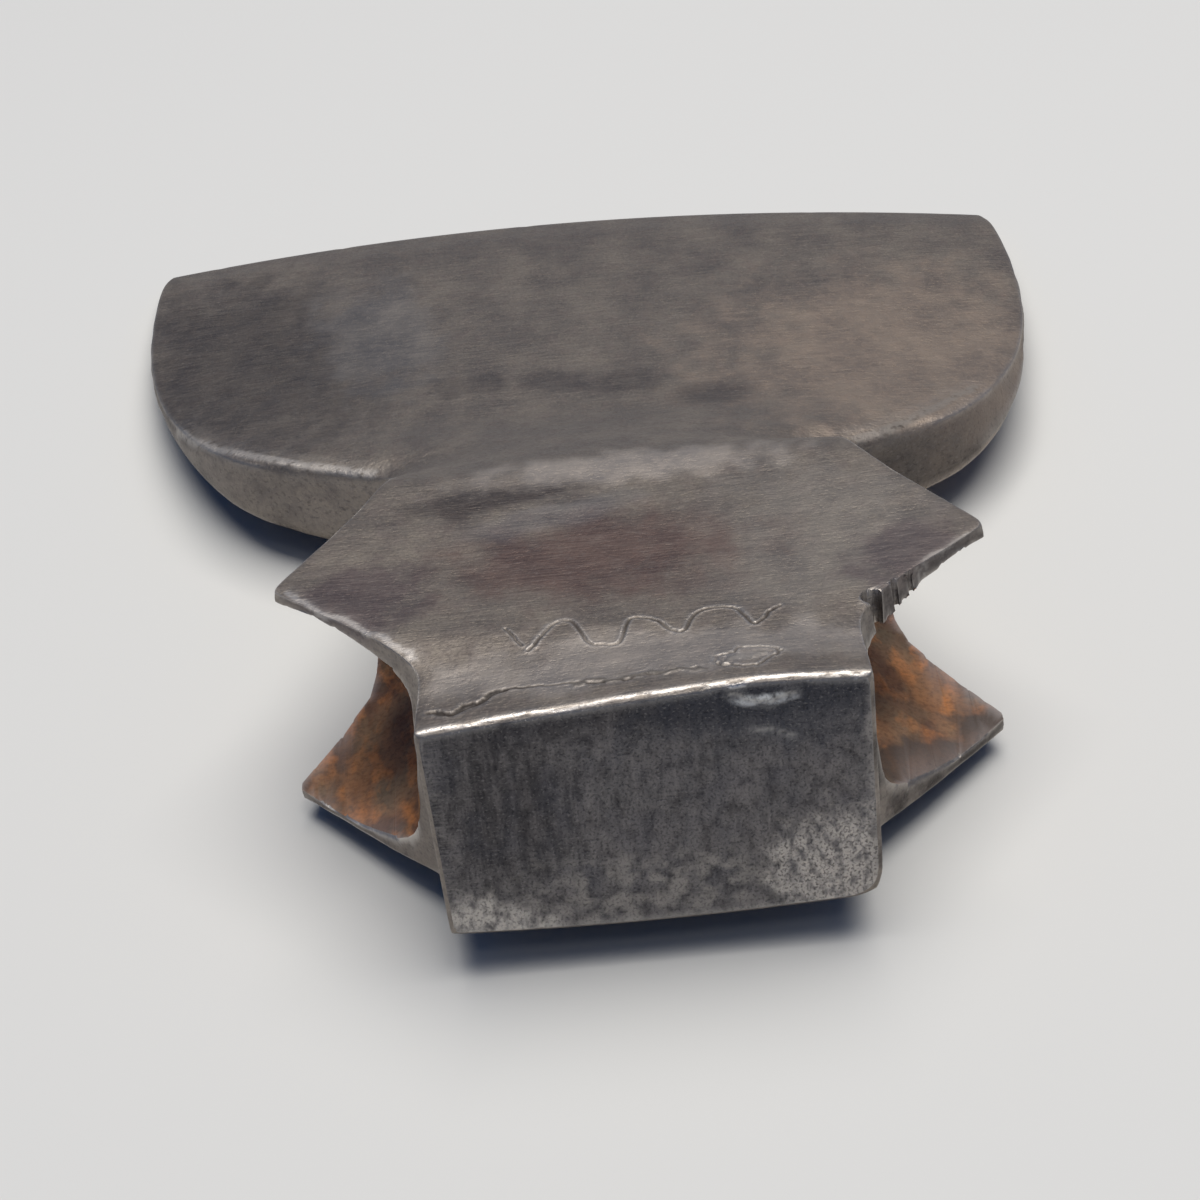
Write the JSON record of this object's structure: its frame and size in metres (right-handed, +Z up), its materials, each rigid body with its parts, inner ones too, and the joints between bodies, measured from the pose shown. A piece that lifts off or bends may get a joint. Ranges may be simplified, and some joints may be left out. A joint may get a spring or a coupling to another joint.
{
  "type": "axe head",
  "caption": "Forged hewing axe head with a square poll, pointed ears round the haft eye and a broad bowed blade, lying on its side.",
  "frame": {"origin": "on the ground, under the middle of the head's bounding box", "axes": "+Y runs from the poll to the cutting edge over the ground, +X runs along the haft eye, +Z is up"},
  "size_m": [0.1504, 0.201, 0.0419],
  "materials": {
    "forged_steel": "worn hand-forged steel with a thin grey-brown patina, burnished along its edges and rusted inside the eye"
  },
  "bodies": {
    "root": {"axe_head": "forged_steel"}
  },
  "joints": []
}
